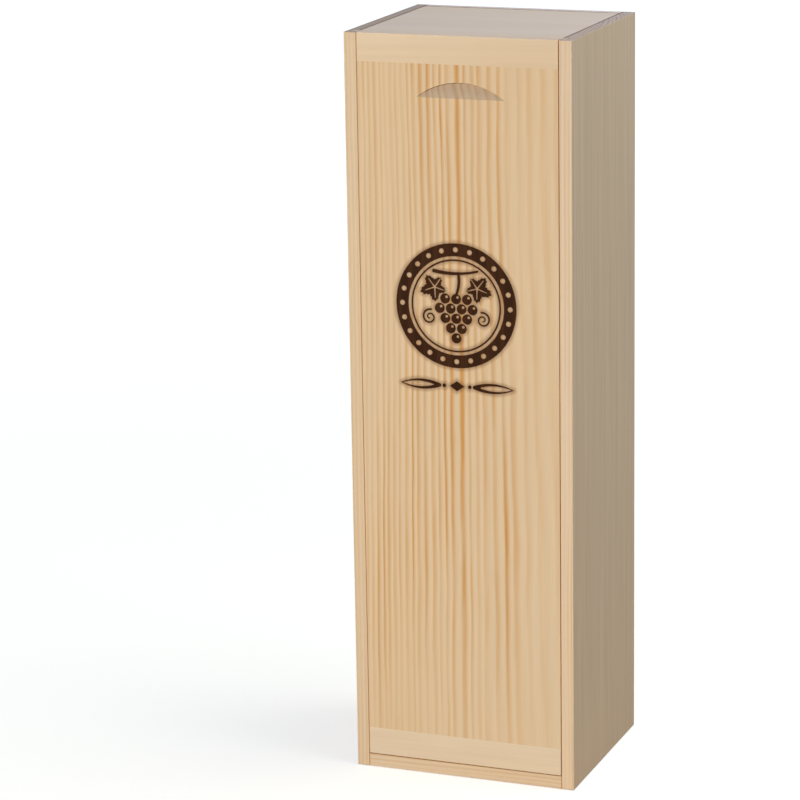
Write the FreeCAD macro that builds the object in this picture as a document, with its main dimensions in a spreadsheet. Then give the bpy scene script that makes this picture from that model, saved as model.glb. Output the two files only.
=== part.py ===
import FreeCAD, Part
import os
import Sketcher

# A narrow wooden box that stands upright, with a lid that slides up and two cradles inside.
# Millimetres. The origin is at the middle of the underside, the front faces -Y, +Z is up.

doc = FreeCAD.newDocument("wine_box")
sheet = doc.addObject("Spreadsheet::Sheet", "sizes")

# Lengths that are chosen.
CHOSEN = {
    # The outside of the closed box.
    "box_width": 108,
    "box_depth": 94,
    "box_height": 350,
    # Boards.
    "side_thickness": 6,
    "bottom_thickness": 6.3,
    "top_thickness": 6,
    "back_thickness": 6,
    "edge_round": 0.3,
    "seam_round": 0.15,
    # The lid and the groove it slides in. The lid rests nearer to the left side.
    "lid_thickness": 5.8,
    "lid_setback": 0.1,
    "lip_thickness": 2.8,
    "groove_depth": 3,
    "slide_play": 0.2,
    "lid_left_gap": 0.1,
    "lid_right_gap": 0.3,
    "lid_foot_gap": 0.25,
    "batten_width": 13,
    "panel_tongue_thickness": 2,
    "panel_tongue_length": 5,
    "glue_gap": 0.1,
    # The thumb notch, cut by a round cutter that leans. It reaches up from a straight edge.
    "notch_radius": 35,
    "notch_reach": 7,
    "notch_depth": 2,
    "notch_drop": 28.2,
    "notch_offset": 1.6,
    # Blind wooden pins in the corners.
    "pin_diameter": 2.5,
    "pin_length": 12,
    "pin_side_depth": 3.5,
    "pin_inset": 14,
    "pin_bevel": 0.3,
    # Brads that come in from behind.
    "brad_diameter": 1.2,
    "brad_length": 18,
    "brad_point": 0.4,
    "brad_head_diameter": 2.2,
    "brad_head_thickness": 0.6,
    "brad_sink": 0.2,
    "brad_inset": 12,
    # Cradles, each with half a round hole.
    "cradle_thickness": 12,
    "cradle_side_gap": 0.3,
    "cradle_web": 3,
    "cradle_lip_round": 2,
    "neck_notch_radius": 16.5,
    "body_cradle_rise": 66,
    "neck_cradle_drop": 82,
    # How far a cut starts or ends outside the wood, and how near an edge lies to its place.
    "overrun": 1,
    "near_enough": 0.01,
}

# Places and sizes that follow from them: x of the sides, y from front to back, z up.
WORKED_OUT = {
    "outer_side": "box_width / 2",
    "inner_side": "outer_side - side_thickness",
    "groove_floor": "inner_side + groove_depth",
    "front_face": "-box_depth / 2",
    "back_face": "box_depth / 2",
    "back_inner": "back_face - back_thickness",
    "top_inner": "box_height - top_thickness",
    "top_middle": "box_height - top_thickness / 2",
    "bottom_middle": "bottom_thickness / 2",
    # Lid.
    "lid_face": "front_face + lid_setback",
    "lid_back": "lid_face + lid_thickness",
    "groove_front": "front_face + lip_thickness",
    "groove_back": "lid_back + slide_play",
    "lid_shoulder": "groove_front + slide_play",
    "lid_left_face": "inner_side - lid_left_gap",
    "lid_right_face": "inner_side - lid_right_gap",
    "lid_left_tongue": "groove_floor - lid_left_gap",
    "lid_right_tongue": "groove_floor - lid_right_gap",
    "lid_cut_side": "groove_floor + overrun",
    "lid_seat": "bottom_thickness - groove_depth",
    "lid_foot": "bottom_thickness + lid_foot_gap",
    "lid_tongue_drop": "lid_foot - lid_seat",
    "panel_foot": "lid_foot + batten_width",
    "panel_head": "box_height - batten_width",
    "panel_tongue_foot": "panel_foot - panel_tongue_length",
    "panel_tongue_head": "panel_head + panel_tongue_length",
    "panel_length": "panel_tongue_head - panel_tongue_foot",
    "panel_cut_foot": "panel_tongue_foot - overrun",
    "panel_cut_head": "panel_tongue_head + overrun",
    "panel_rebate": "(lid_thickness - panel_tongue_thickness) / 2",
    "slot_front": "lid_face + panel_rebate - glue_gap",
    "slot_back": "lid_back - panel_rebate + glue_gap",
    "slot_depth": "panel_tongue_length + glue_gap",
    "notch_foot": "box_height - notch_drop",
    "notch_centre": "notch_reach - notch_radius",
    "notch_tilt": "asin(notch_depth / notch_reach)",
    "notch_diameter": "notch_radius * 2",
    # Pins and brads.
    "pin_bore": "pin_diameter + glue_gap * 2",
    "pin_outer_end": "inner_side + pin_side_depth",
    "pin_inner_end": "pin_outer_end - pin_length",
    "pin_side_bore": "pin_side_depth + glue_gap",
    "pin_end_bore": "pin_length - pin_side_depth + glue_gap",
    "pin_front": "groove_back + pin_inset",
    "pin_back": "back_inner - pin_inset",
    "brad_bore": "brad_diameter + glue_gap * 2",
    "brad_side": "inner_side - brad_inset",
    "brad_head_back": "back_face - brad_sink",
    "brad_head_front": "brad_head_back - brad_head_thickness",
    "brad_tip": "brad_head_front - brad_length",
    "brad_head_bore": "brad_head_diameter + glue_gap * 2",
    "brad_head_depth": "brad_sink + brad_head_thickness + glue_gap",
    "brad_tip_depth": "back_inner - brad_tip + glue_gap",
    # Cradles. Their round holes are centred midway between lid and back panel.
    "hole_axis": "(lid_back + back_inner) / 2",
    "cradle_side": "inner_side - cradle_side_gap",
    "body_notch_room": "min(back_inner - hole_axis; cradle_side - cradle_lip_round * 2)",
    "body_notch_radius": "body_notch_room - cradle_web",
    "body_notch_diameter": "body_notch_radius * 2",
    "neck_notch_diameter": "neck_notch_radius * 2",
    "horn_middle": "(body_notch_radius + cradle_side) / 2",
    "neck_cradle_rise": "box_height - neck_cradle_drop - cradle_thickness",
    "body_cradle_middle": "body_cradle_rise + cradle_thickness / 2",
    "neck_cradle_middle": "neck_cradle_rise + cradle_thickness / 2",
}

row = 0
for name, number in CHOSEN.items():
    row += 1
    sheet.set(f"A{row}", name)
    sheet.set(f"B{row}", str(number))
    sheet.setAlias(f"B{row}", name)
for name, formula in WORKED_OUT.items():
    row += 1
    sheet.set(f"A{row}", name)
    sheet.setAlias(f"B{row}", name)
    sheet.set(f"B{row}", "=" + formula)
doc.recompute()


def worth(size):
    """The present value of a size that is named with or without a minus sign."""
    if size == "0":
        return 0.0
    if size.startswith("-"):
        return -worth(size[1:])
    return float(sheet.get(size))


def formula_of(size):
    """The same size written as a formula on the sheet."""
    if size == "0":
        return "0"
    if size.startswith("-"):
        return "-sizes." + size[1:]
    return "sizes." + size


def minus(size):
    """The name of a size with its sign changed."""
    return size[1:] if size.startswith("-") else "-" + size


def new_body(name):
    """An empty body that carries the node's name."""
    body = doc.addObject("PartDesign::Body", name)
    body.Label = name
    return body


def sketch_on(body, role, offset="0"):
    """An empty sketch on one of the body's own planes, moved along the plane's normal."""
    plane = next(item for item in body.Origin.OriginFeatures if item.Role == role)
    sketch = body.newObject("Sketcher::SketchObject", body.Name + "_sketch")
    sketch.AttachmentSupport = (plane, [""])
    sketch.MapMode = "FlatFace"
    sketch.setExpression("AttachmentOffset.Base.z", formula_of(offset))
    return sketch


def hold_at(sketch, piece, point, across, up):
    """Ties one point of a sketch to two sizes, measured from the sketch's origin."""
    tie = sketch.addConstraint(
        Sketcher.Constraint("DistanceX", -1, 1, piece, point, worth(across))
    )
    sketch.setExpression(f"Constraints[{tie}]", formula_of(across))
    tie = sketch.addConstraint(
        Sketcher.Constraint("DistanceY", -1, 1, piece, point, worth(up))
    )
    sketch.setExpression(f"Constraints[{tie}]", formula_of(up))


def draw_outline(sketch, corners):
    """A closed outline of straight lines through corners that are named by sizes."""
    spots = [FreeCAD.Vector(worth(across), worth(up), 0) for across, up in corners]
    count = len(corners)
    lines = []
    for here in range(count):
        line = Part.LineSegment(spots[here], spots[(here + 1) % count])
        lines.append(sketch.addGeometry(line, False))
    for here in range(count):
        following = lines[(here + 1) % count]
        sketch.addConstraint(Sketcher.Constraint("Coincident", lines[here], 2, following, 1))
    for line, (across, up) in zip(lines, corners):
        hold_at(sketch, line, 1, across, up)


def draw_oblong(sketch, left, right, low, high):
    """A rectangle between two sizes across and two sizes up."""
    draw_outline(sketch, [(left, low), (right, low), (right, high), (left, high)])


def draw_circles(sketch, diameter, centres):
    """Equal circles round centres that are named by sizes."""
    upright = FreeCAD.Vector(0, 0, 1)
    for across, up in centres:
        centre = FreeCAD.Vector(worth(across), worth(up), 0)
        ring = sketch.addGeometry(Part.Circle(centre, upright, worth(diameter) / 2), False)
        hold_at(sketch, ring, 3, across, up)
        tie = sketch.addConstraint(Sketcher.Constraint("Diameter", ring, worth(diameter)))
        sketch.setExpression(f"Constraints[{tie}]", formula_of(diameter))


def pad(body, sketch, length):
    """Material on the side that the sketch's normal points to."""
    feature = body.newObject("PartDesign::Pad", body.Name + "_pad")
    feature.Profile = sketch
    feature.setExpression("Length", formula_of(length))
    doc.recompute()


def cut(body, sketch, length, along_normal):
    """Wood taken away from the sketch's plane, along its normal or against it."""
    before = body.Shape.Volume
    feature = body.newObject("PartDesign::Pocket", body.Name + "_cut")
    feature.Profile = sketch
    feature.setExpression("Length", formula_of(length))
    feature.Reversed = along_normal
    doc.recompute()
    if not body.Shape.Volume < before:
        raise RuntimeError("a cut in " + body.Label + " takes no wood away")


def on_line(edge, x=None, y=None, z=None):
    """True if the whole edge lies at the sizes that are given."""
    near = worth("near_enough")
    for wanted, axis in ((x, 0), (y, 1), (z, 2)):
        if wanted is None:
            continue
        for vertex in edge.Vertexes:
            if abs(vertex.Point[axis] - worth(wanted)) > near:
                return False
    return True


def dress(body, kind, prop, size, places):
    """Rounds or bevels the edges that lie at any of the given places."""
    names = []
    for number, edge in enumerate(body.Shape.Edges, start=1):
        if any(on_line(edge, **place) for place in places):
            names.append(f"Edge{number}")
    last = body.Tip
    feature = body.newObject("PartDesign::" + kind, body.Name + "_" + kind.lower())
    feature.Base = (last, names)
    feature.setExpression(prop, formula_of(size))
    doc.recompute()


def ease(body, places):
    """Takes the sharpness off the edges of a board."""
    dress(body, "Fillet", "Radius", "edge_round", places)


def ease_seam(body, places):
    """Takes less off the edges along the seams round the lid, so that the seams stay narrow."""
    dress(body, "Fillet", "Radius", "seam_round", places)


nodes = []


def side_board(name, outer, inner, floor, into_board):
    """An upright board with the lid's groove along its whole length and blind holes for pins."""
    body = new_body(name)
    section = sketch_on(body, "XY_Plane")
    draw_outline(
        section,
        [
            (outer, "front_face"),
            (outer, "back_face"),
            (inner, "back_face"),
            (inner, "groove_back"),
            (floor, "groove_back"),
            (floor, "groove_front"),
            (inner, "groove_front"),
            (inner, "front_face"),
        ],
    )
    pad(body, section, "box_height")
    bores = sketch_on(body, "YZ_Plane", inner)
    draw_circles(
        bores,
        "pin_bore",
        [
            ("pin_front", "bottom_middle"),
            ("pin_back", "bottom_middle"),
            ("pin_front", "top_middle"),
            ("pin_back", "top_middle"),
        ],
    )
    cut(body, bores, "pin_side_bore", into_board)
    ease(
        body,
        [
            {"x": outer, "y": "front_face"},
            {"x": outer, "y": "back_face"},
            {"x": inner, "y": "back_face"},
            {"x": outer, "z": "box_height"},
            {"x": outer, "z": "0"},
            {"y": "front_face", "z": "box_height"},
            {"y": "front_face", "z": "0"},
            {"y": "back_face", "z": "box_height"},
            {"y": "back_face", "z": "0"},
        ],
    )
    ease_seam(body, [{"x": inner, "y": "front_face"}])
    nodes.append(body)


side_board("left_side_board", "-outer_side", "-inner_side", "-groove_floor", False)
side_board("right_side_board", "outer_side", "inner_side", "groove_floor", True)


def bore_ends(body, height):
    """Holes for the pins in both ends of a board that lies between the sides."""
    centres = [("pin_front", height), ("pin_back", height)]
    right = sketch_on(body, "YZ_Plane", "inner_side")
    draw_circles(right, "pin_bore", centres)
    cut(body, right, "pin_end_bore", False)
    left = sketch_on(body, "YZ_Plane", "-inner_side")
    draw_circles(left, "pin_bore", centres)
    cut(body, left, "pin_end_bore", True)


def bore_rear(body, centres):
    """Holes for the brads in the rear edge of a board that the back panel covers."""
    rear = sketch_on(body, "XZ_Plane", minus("back_inner"))
    draw_circles(rear, "brad_bore", centres)
    cut(body, rear, "brad_tip_depth", True)


TOP_BRADS = [("-brad_side", "top_middle"), ("0", "top_middle"), ("brad_side", "top_middle")]
BOTTOM_BRADS = [
    ("-brad_side", "bottom_middle"),
    ("0", "bottom_middle"),
    ("brad_side", "bottom_middle"),
]
NECK_BRADS = [("-horn_middle", "neck_cradle_middle"), ("horn_middle", "neck_cradle_middle")]
BODY_BRADS = [("-horn_middle", "body_cradle_middle"), ("horn_middle", "body_cradle_middle")]

# The bottom board reaches the front, so the lid's lower tongue drops into a groove in it.
bottom_board = new_body("bottom_board")
outline = sketch_on(bottom_board, "XY_Plane")
draw_oblong(outline, "-inner_side", "inner_side", "front_face", "back_inner")
pad(bottom_board, outline, "bottom_thickness")
groove = sketch_on(bottom_board, "XY_Plane", "bottom_thickness")
draw_oblong(groove, "-inner_side", "inner_side", "groove_front", "groove_back")
cut(bottom_board, groove, "groove_depth", False)
bore_ends(bottom_board, "bottom_middle")
bore_rear(bottom_board, BOTTOM_BRADS)
ease(
    bottom_board,
    [
        {"y": "front_face", "z": "0"},
        {"x": "-inner_side", "y": "front_face"},
        {"x": "inner_side", "y": "front_face"},
        {"x": "-inner_side", "z": "0"},
        {"x": "inner_side", "z": "0"},
        {"y": "back_inner", "z": "0"},
    ],
)
ease_seam(bottom_board, [{"y": "front_face", "z": "bottom_thickness"}])
nodes.append(bottom_board)

# The top board stops behind the lid, so that the lid can leave upwards.
top_board = new_body("top_board")
outline = sketch_on(top_board, "XY_Plane", "top_inner")
draw_oblong(outline, "-inner_side", "inner_side", "groove_back", "back_inner")
pad(top_board, outline, "top_thickness")
bore_ends(top_board, "top_middle")
bore_rear(top_board, TOP_BRADS)
ease(
    top_board,
    [
        {"y": "groove_back", "z": "box_height"},
        {"y": "groove_back", "z": "top_inner"},
        {"y": "back_inner", "z": "box_height"},
        {"x": "-inner_side", "z": "box_height"},
        {"x": "inner_side", "z": "box_height"},
    ],
)
nodes.append(top_board)

# The back panel covers the rear edges of the other boards and is bored for every brad.
back_panel = new_body("back_panel")
outline = sketch_on(back_panel, "XY_Plane")
draw_oblong(outline, "-inner_side", "inner_side", "back_inner", "back_face")
pad(back_panel, outline, "box_height")
all_brads = TOP_BRADS + BOTTOM_BRADS + NECK_BRADS + BODY_BRADS
shanks = sketch_on(back_panel, "XZ_Plane", minus("back_face"))
draw_circles(shanks, "brad_bore", all_brads)
cut(back_panel, shanks, "back_thickness", True)
heads = sketch_on(back_panel, "XZ_Plane", minus("back_face"))
draw_circles(heads, "brad_head_bore", all_brads)
cut(back_panel, heads, "brad_head_depth", True)
ease(
    back_panel,
    [
        {"y": "back_face", "z": "box_height"},
        {"y": "back_face", "z": "0"},
        {"y": "back_inner", "z": "box_height"},
        {"x": "-inner_side", "y": "back_face"},
        {"x": "inner_side", "y": "back_face"},
    ],
)
nodes.append(back_panel)

LID_SECTION = [
    ("-lid_left_face", "lid_face"),
    ("lid_right_face", "lid_face"),
    ("lid_right_face", "lid_shoulder"),
    ("lid_right_tongue", "lid_shoulder"),
    ("lid_right_tongue", "lid_back"),
    ("-lid_left_tongue", "lid_back"),
    ("-lid_left_tongue", "lid_shoulder"),
    ("-lid_left_face", "lid_shoulder"),
]
LID_FRONT_EDGES = [
    {"x": "-lid_left_face", "y": "lid_face"},
    {"x": "lid_right_face", "y": "lid_face"},
]

# The lid panel. Both its ends are rebated from front and back to leave a tongue.
lid_panel = new_body("lid_panel")
section = sketch_on(lid_panel, "XY_Plane", "panel_tongue_foot")
draw_outline(section, LID_SECTION)
pad(lid_panel, section, "panel_length")
front_rebates = sketch_on(lid_panel, "XZ_Plane", minus("lid_face"))
draw_oblong(front_rebates, "-lid_cut_side", "lid_cut_side", "panel_cut_foot", "panel_foot")
draw_oblong(front_rebates, "-lid_cut_side", "lid_cut_side", "panel_head", "panel_cut_head")
cut(lid_panel, front_rebates, "panel_rebate", False)
back_rebates = sketch_on(lid_panel, "XZ_Plane", minus("lid_back"))
draw_oblong(back_rebates, "-lid_cut_side", "lid_cut_side", "panel_cut_foot", "panel_foot")
draw_oblong(back_rebates, "-lid_cut_side", "lid_cut_side", "panel_head", "panel_cut_head")
cut(lid_panel, back_rebates, "panel_rebate", True)

# The thumb notch. Its floor slopes inwards from a straight lower edge up to a round wall.
thumb = sketch_on(lid_panel, "XZ_Plane", minus("lid_face"))
leaning = FreeCAD.Rotation(FreeCAD.Vector(-1, 0, 0), worth("notch_tilt"))
thumb.AttachmentOffset = FreeCAD.Placement(thumb.AttachmentOffset.Base, leaning)
thumb.setExpression("AttachmentOffset.Base.x", "sizes.notch_offset")
thumb.setExpression("AttachmentOffset.Base.y", "sizes.notch_foot")
thumb.setExpression("AttachmentOffset.Rotation.Angle", "sizes.notch_tilt")
draw_circles(thumb, "notch_diameter", [("0", "notch_centre")])
cut(lid_panel, thumb, "lid_thickness", True)
ease_seam(lid_panel, LID_FRONT_EDGES)
nodes.append(lid_panel)

# The battens run across the grain of the panel and keep the lid flat.
upper_batten = new_body("lid_top_batten")
section = sketch_on(upper_batten, "XY_Plane", "panel_head")
draw_outline(section, LID_SECTION)
pad(upper_batten, section, "batten_width")
slot = sketch_on(upper_batten, "XY_Plane", "panel_head")
draw_oblong(slot, "-lid_cut_side", "lid_cut_side", "slot_front", "slot_back")
cut(upper_batten, slot, "slot_depth", True)
ease(
    upper_batten,
    [{"y": "lid_face", "z": "box_height"}, {"y": "lid_back", "z": "box_height"}],
)
ease_seam(upper_batten, LID_FRONT_EDGES)
nodes.append(upper_batten)

# The lower batten also carries the tongue that stands in the bottom board's groove.
lower_batten = new_body("lid_bottom_batten")
tongue = sketch_on(lower_batten, "XY_Plane", "lid_seat")
draw_oblong(tongue, "-lid_left_tongue", "lid_right_tongue", "lid_shoulder", "lid_back")
pad(lower_batten, tongue, "lid_tongue_drop")
section = sketch_on(lower_batten, "XY_Plane", "lid_foot")
draw_outline(section, LID_SECTION)
pad(lower_batten, section, "batten_width")
slot = sketch_on(lower_batten, "XY_Plane", "panel_foot")
draw_oblong(slot, "-lid_cut_side", "lid_cut_side", "slot_front", "slot_back")
cut(lower_batten, slot, "slot_depth", False)
ease_seam(lower_batten, LID_FRONT_EDGES + [{"y": "lid_face", "z": "lid_foot"}])
nodes.append(lower_batten)


def cradle(name, rise, notch_diameter, notch_half, brads):
    """A level board on the back panel with half a round hole in its front edge."""
    body = new_body(name)
    board = sketch_on(body, "XY_Plane", rise)
    draw_oblong(board, "-cradle_side", "cradle_side", "hole_axis", "back_inner")
    pad(body, board, "cradle_thickness")
    hole = sketch_on(body, "XY_Plane", rise)
    draw_circles(hole, notch_diameter, [("0", "hole_axis")])
    cut(body, hole, "cradle_thickness", True)
    bore_rear(body, brads)
    lips = [{"x": notch_half, "y": "hole_axis"}, {"x": minus(notch_half), "y": "hole_axis"}]
    dress(body, "Fillet", "Radius", "cradle_lip_round", lips)
    nodes.append(body)


cradle("neck_cradle", "neck_cradle_rise", "neck_notch_diameter", "neck_notch_radius", NECK_BRADS)
cradle("body_cradle", "body_cradle_rise", "body_notch_diameter", "body_notch_radius", BODY_BRADS)


def pin_pair(name, low_end, high_end, height):
    """Two wooden pins that lie across a corner, with both ends bevelled."""
    body = new_body(name)
    rounds = sketch_on(body, "YZ_Plane", low_end)
    draw_circles(rounds, "pin_diameter", [("pin_front", height), ("pin_back", height)])
    pad(body, rounds, "pin_length")
    dress(body, "Chamfer", "Size", "pin_bevel", [{"x": low_end}, {"x": high_end}])
    nodes.append(body)


pin_pair("top_left_pins", "-pin_outer_end", "-pin_inner_end", "top_middle")
pin_pair("top_right_pins", "pin_inner_end", "pin_outer_end", "top_middle")
pin_pair("bottom_left_pins", "-pin_outer_end", "-pin_inner_end", "bottom_middle")
pin_pair("bottom_right_pins", "pin_inner_end", "pin_outer_end", "bottom_middle")


def brad_row(name, centres):
    """A row of brads with flat heads and bevelled points."""
    body = new_body(name)
    shank = sketch_on(body, "XZ_Plane", minus("brad_head_front"))
    draw_circles(shank, "brad_diameter", centres)
    pad(body, shank, "brad_length")
    head = sketch_on(body, "XZ_Plane", minus("brad_head_back"))
    draw_circles(head, "brad_head_diameter", centres)
    pad(body, head, "brad_head_thickness")
    dress(body, "Chamfer", "Size", "brad_point", [{"y": "brad_tip"}])
    nodes.append(body)


brad_row("top_brads", TOP_BRADS)
brad_row("bottom_brads", BOTTOM_BRADS)
brad_row("neck_cradle_brads", NECK_BRADS)
brad_row("body_cradle_brads", BODY_BRADS)

doc.recompute()
for item in doc.Objects:
    if "Invalid" in item.State or "Error" in item.State:
        raise RuntimeError(item.Label + " did not recompute")
os.makedirs("parts", exist_ok=True)
for node in nodes:
    if node.Shape.isNull() or not node.Shape.isValid():
        raise RuntimeError(node.Label + " has no sound shape")
    node.Shape.exportStep("parts/" + node.Label + ".step")
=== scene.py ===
# %% [markdown]
# # A pine box with a lid that slides up
#
# The boards of this box are already built, at their real size, and they come in as a fixed frame. A plain
# flat board needs no second modelling: what makes it look like pine is the timber itself. So this lesson
# grows a log in shader nodes and then "saws" every board out of it, each at its own place and angle.
# Face, edge and end of a board then agree with each other, as they do on real wood. The one new piece is
# the mark that is burned into the lid.

# %% Load the frame
from collections import namedtuple
from math import radians

import bpy
import numpy as np
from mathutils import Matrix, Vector


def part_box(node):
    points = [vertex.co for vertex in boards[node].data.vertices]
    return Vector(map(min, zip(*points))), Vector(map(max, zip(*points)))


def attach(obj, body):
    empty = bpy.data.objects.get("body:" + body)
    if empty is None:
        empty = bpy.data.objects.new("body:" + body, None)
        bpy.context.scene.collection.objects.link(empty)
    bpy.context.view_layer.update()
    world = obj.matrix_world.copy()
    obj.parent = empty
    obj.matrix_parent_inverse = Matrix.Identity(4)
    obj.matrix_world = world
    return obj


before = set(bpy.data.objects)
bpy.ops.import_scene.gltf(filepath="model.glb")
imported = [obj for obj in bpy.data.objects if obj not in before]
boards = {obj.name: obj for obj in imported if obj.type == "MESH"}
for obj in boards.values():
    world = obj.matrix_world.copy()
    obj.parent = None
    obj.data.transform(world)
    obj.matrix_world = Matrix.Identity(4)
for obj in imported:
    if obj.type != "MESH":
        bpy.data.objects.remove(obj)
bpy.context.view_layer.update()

print("boards and fasteners:", len(boards))

# %% [markdown]
# ## A short way to wire nodes
#
# Node trees are easy to draw and tiresome to type. A few helpers keep the rest readable: one adds any
# node and fills or links its inputs, one does arithmetic, one makes a soft ramp and one mixes two
# colours. Another takes a place or a direction apart into its three coordinates. A colour is written as
# it would be picked on a screen, from 0 to 255, and turned into the linear values that shaders work in.

# %% Helpers for nodes and colours
def step(tree, kind, inputs, output=0, **options):
    """Adds one shader node, sets or links its inputs, and returns one of its outputs."""
    node = tree.nodes.new("ShaderNode" + kind)
    for option, choice in options.items():
        setattr(node, option, choice)
    for socket, content in inputs.items():
        if isinstance(content, bpy.types.NodeSocket):
            tree.links.new(content, node.inputs[socket])
        else:
            node.inputs[socket].default_value = content
    return node.outputs[output]


def sums(tree, operation, first, second=0.0):
    """One sum on two numbers, either of which may be a socket."""
    return step(tree, "Math", {0: first, 1: second}, operation=operation)


def product(tree, *numbers):
    """Several numbers multiplied."""
    total = numbers[0]
    for number in numbers[1:]:
        total = sums(tree, "MULTIPLY", total, number)
    return total


def ramp(tree, amount, low, high, start=0.0, end=1.0):
    """Goes softly from start to end while the amount goes from low to high."""
    inputs = {"Value": amount, "From Min": low, "From Max": high, "To Min": start, "To Max": end}
    return step(tree, "MapRange", inputs, interpolation_type="SMOOTHSTEP")


def mixed(tree, amount, first, second, way="MIX"):
    """Two colours mixed by an amount."""
    inputs = {0: amount, 6: first, 7: second}
    return step(tree, "Mix", inputs, output=2, data_type="RGBA", blend_type=way)


def axes(tree, source):
    """Three coordinates: of a place (Object), of how a surface faces (Normal) or of the sky (Generated)."""
    vector = step(tree, "TexCoord", {}, output=source)
    return [step(tree, "SeparateXYZ", {"Vector": vector}, output=axis) for axis in "XYZ"]


def tone(red, green, blue):
    """A screen colour as linear values: near 0 a straight line, above it a power of 2.4."""
    share = np.array([red, green, blue]) / 255
    linear = np.where(share <= 0.04045, share / 12.92, ((share + 0.055) / 1.055) ** 2.4)
    return (*linear.tolist(), 1.0)


print("half-way on the screen is", round(tone(128, 128, 128)[0], 3), "of the light of white")

# %% [markdown]
# ## Laying a board in the log
#
# A log has a pith, the line down its middle, and every growth ring is a tube around it. A board only
# needs to know two things: which way its grain runs, and where the pith was when it was cut. The Mapping
# node does both. It turns the board until its grain points along Z, and moves it until the pith is at
# zero. A lean of a degree or so stands for the log not being quite straight, and makes the lines drift as
# they run.

# %% Where a board was cut
Cut = namedtuple("Cut", "grain pith lean ring strength strong early late ends")

GRAIN_UP = (0.0, 0.0)
GRAIN_ACROSS = (0.0, -90.0)


def in_the_log(tree, cut):
    """The point on the board, as seen from the pith, with Z along the grain."""
    place = step(tree, "TexCoord", {}, output="Object")
    turn = [radians(grain + lean) for grain, lean in zip(cut.grain, cut.lean)]
    inputs = {"Vector": place, "Location": (*cut.pith, 0.0), "Rotation": (*turn, 0.0)}
    return step(tree, "Mapping", inputs, vector_type="POINT")


def cloud(tree, point, across, along, detail=2.0):
    """Noise with so many cells to the metre across the grain and along it, from 0 to 1."""
    cells = step(tree, "VectorMath", {0: point, 1: (across, across, along)}, operation="MULTIPLY")
    return step(tree, "TexNoise", {"Vector": cells, "Scale": 1.0, "Detail": detail}, output="Fac")


def swing(tree, noise, size):
    """Noise moved to swing about zero, as far as half the size either way."""
    return sums(tree, "MULTIPLY", sums(tree, "SUBTRACT", noise, 0.5), size)


print("a cut has", ", ".join(Cut._fields))

# %% [markdown]
# ## Growth rings
#
# In spring a pine lays down pale, soft wood. Towards autumn the wood gets denser and more golden, and
# then growth stops for the winter. So across one ring the colour climbs slowly and falls off faster. A
# young tree grows fast, so the rings are wide near the pith and narrow outside: the number of rings grows
# with a power of the distance. The whole part of that number counts the years, and its fraction says how
# late in the year it is. Noise bends the distance a little first, because no tree grows in true circles.

# %% Counting rings
RIPE_RADIUS = 0.1
AGEING = 1.7
SLOW_BEND = 0.0045
QUICK_BEND = 0.0014
UNEVEN_YEARS = 0.8


def ring_number(tree, point, cut):
    """Distance from the pith, bent by slow and quick noise, then counted in rings of shrinking width."""
    sideways = step(tree, "VectorMath", {0: point, 1: (1, 1, 0)}, operation="MULTIPLY")
    radius = step(tree, "VectorMath", {0: sideways}, output="Value", operation="LENGTH")
    slow = swing(tree, cloud(tree, point, across=9, along=3.5), SLOW_BEND)
    quick = swing(tree, cloud(tree, point, across=80, along=18), QUICK_BEND)
    radius = sums(tree, "ADD", radius, sums(tree, "ADD", slow, quick))
    ripe_count = RIPE_RADIUS / (cut.ring * AGEING)
    share = sums(tree, "POWER", sums(tree, "DIVIDE", radius, RIPE_RADIUS), AGEING)
    count = sums(tree, "MULTIPLY", share, ripe_count)
    uneven = step(tree, "TexNoise", {"W": count, "Scale": 0.45}, output="Fac", noise_dimensions="1D")
    return radius, sums(tree, "ADD", count, swing(tree, uneven, UNEVEN_YEARS))


print("a ring has its named width", RIPE_RADIUS, "m from the pith")

# %% [markdown]
# ## Late wood
#
# No two years leave an equally strong line, so every ring gets a strength of its own. A log also has
# stretches of good years: between two distances from the pith all lines are strong, and outside them they
# are faint. On the real lid that strong part spreads out towards the foot while its lines grow weaker, so
# the helper takes a height, too, around which it widens and below which it fades.

# %% Strong and faint lines
Strong = namedtuple("Strong", "first last foot")

CLIMB = (0.2, 0.76)
FALL = (0.78, 1.0)
POOREST_YEAR = 0.55
SPREAD = 0.018
INNER_SHARE = 0.15
SPREAD_ABOVE = 0.12
SPREAD_BELOW = 0.03
FADE_LENGTH = 0.12
BAND_HARD = 0.002
BAND_SOFT = 0.006
FAINT_INSIDE = 0.4
FAINT_OUTSIDE = 0.5
FAINT_FOOT = 0.4


def strong_part(tree, point, radius, strong):
    """1 between the first and the last distance and less elsewhere, wider and fainter towards the foot."""
    first, last, foot = strong
    along = step(tree, "SeparateXYZ", {"Vector": point}, output="Z")
    wider = ramp(tree, along, foot - SPREAD_BELOW, foot + SPREAD_ABOVE, SPREAD, 0.0)
    inner = sums(tree, "ADD", radius, product(tree, wider, INNER_SHARE))
    inside = ramp(tree, inner, first - BAND_SOFT, first + BAND_HARD, FAINT_INSIDE, 1.0)
    outer = sums(tree, "SUBTRACT", radius, wider)
    outside = ramp(tree, outer, last - BAND_HARD, last + BAND_SOFT, 1.0, FAINT_OUTSIDE)
    upper = ramp(tree, along, foot - FADE_LENGTH, foot, FAINT_FOOT, 1.0)
    return product(tree, inside, outside, upper)


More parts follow.
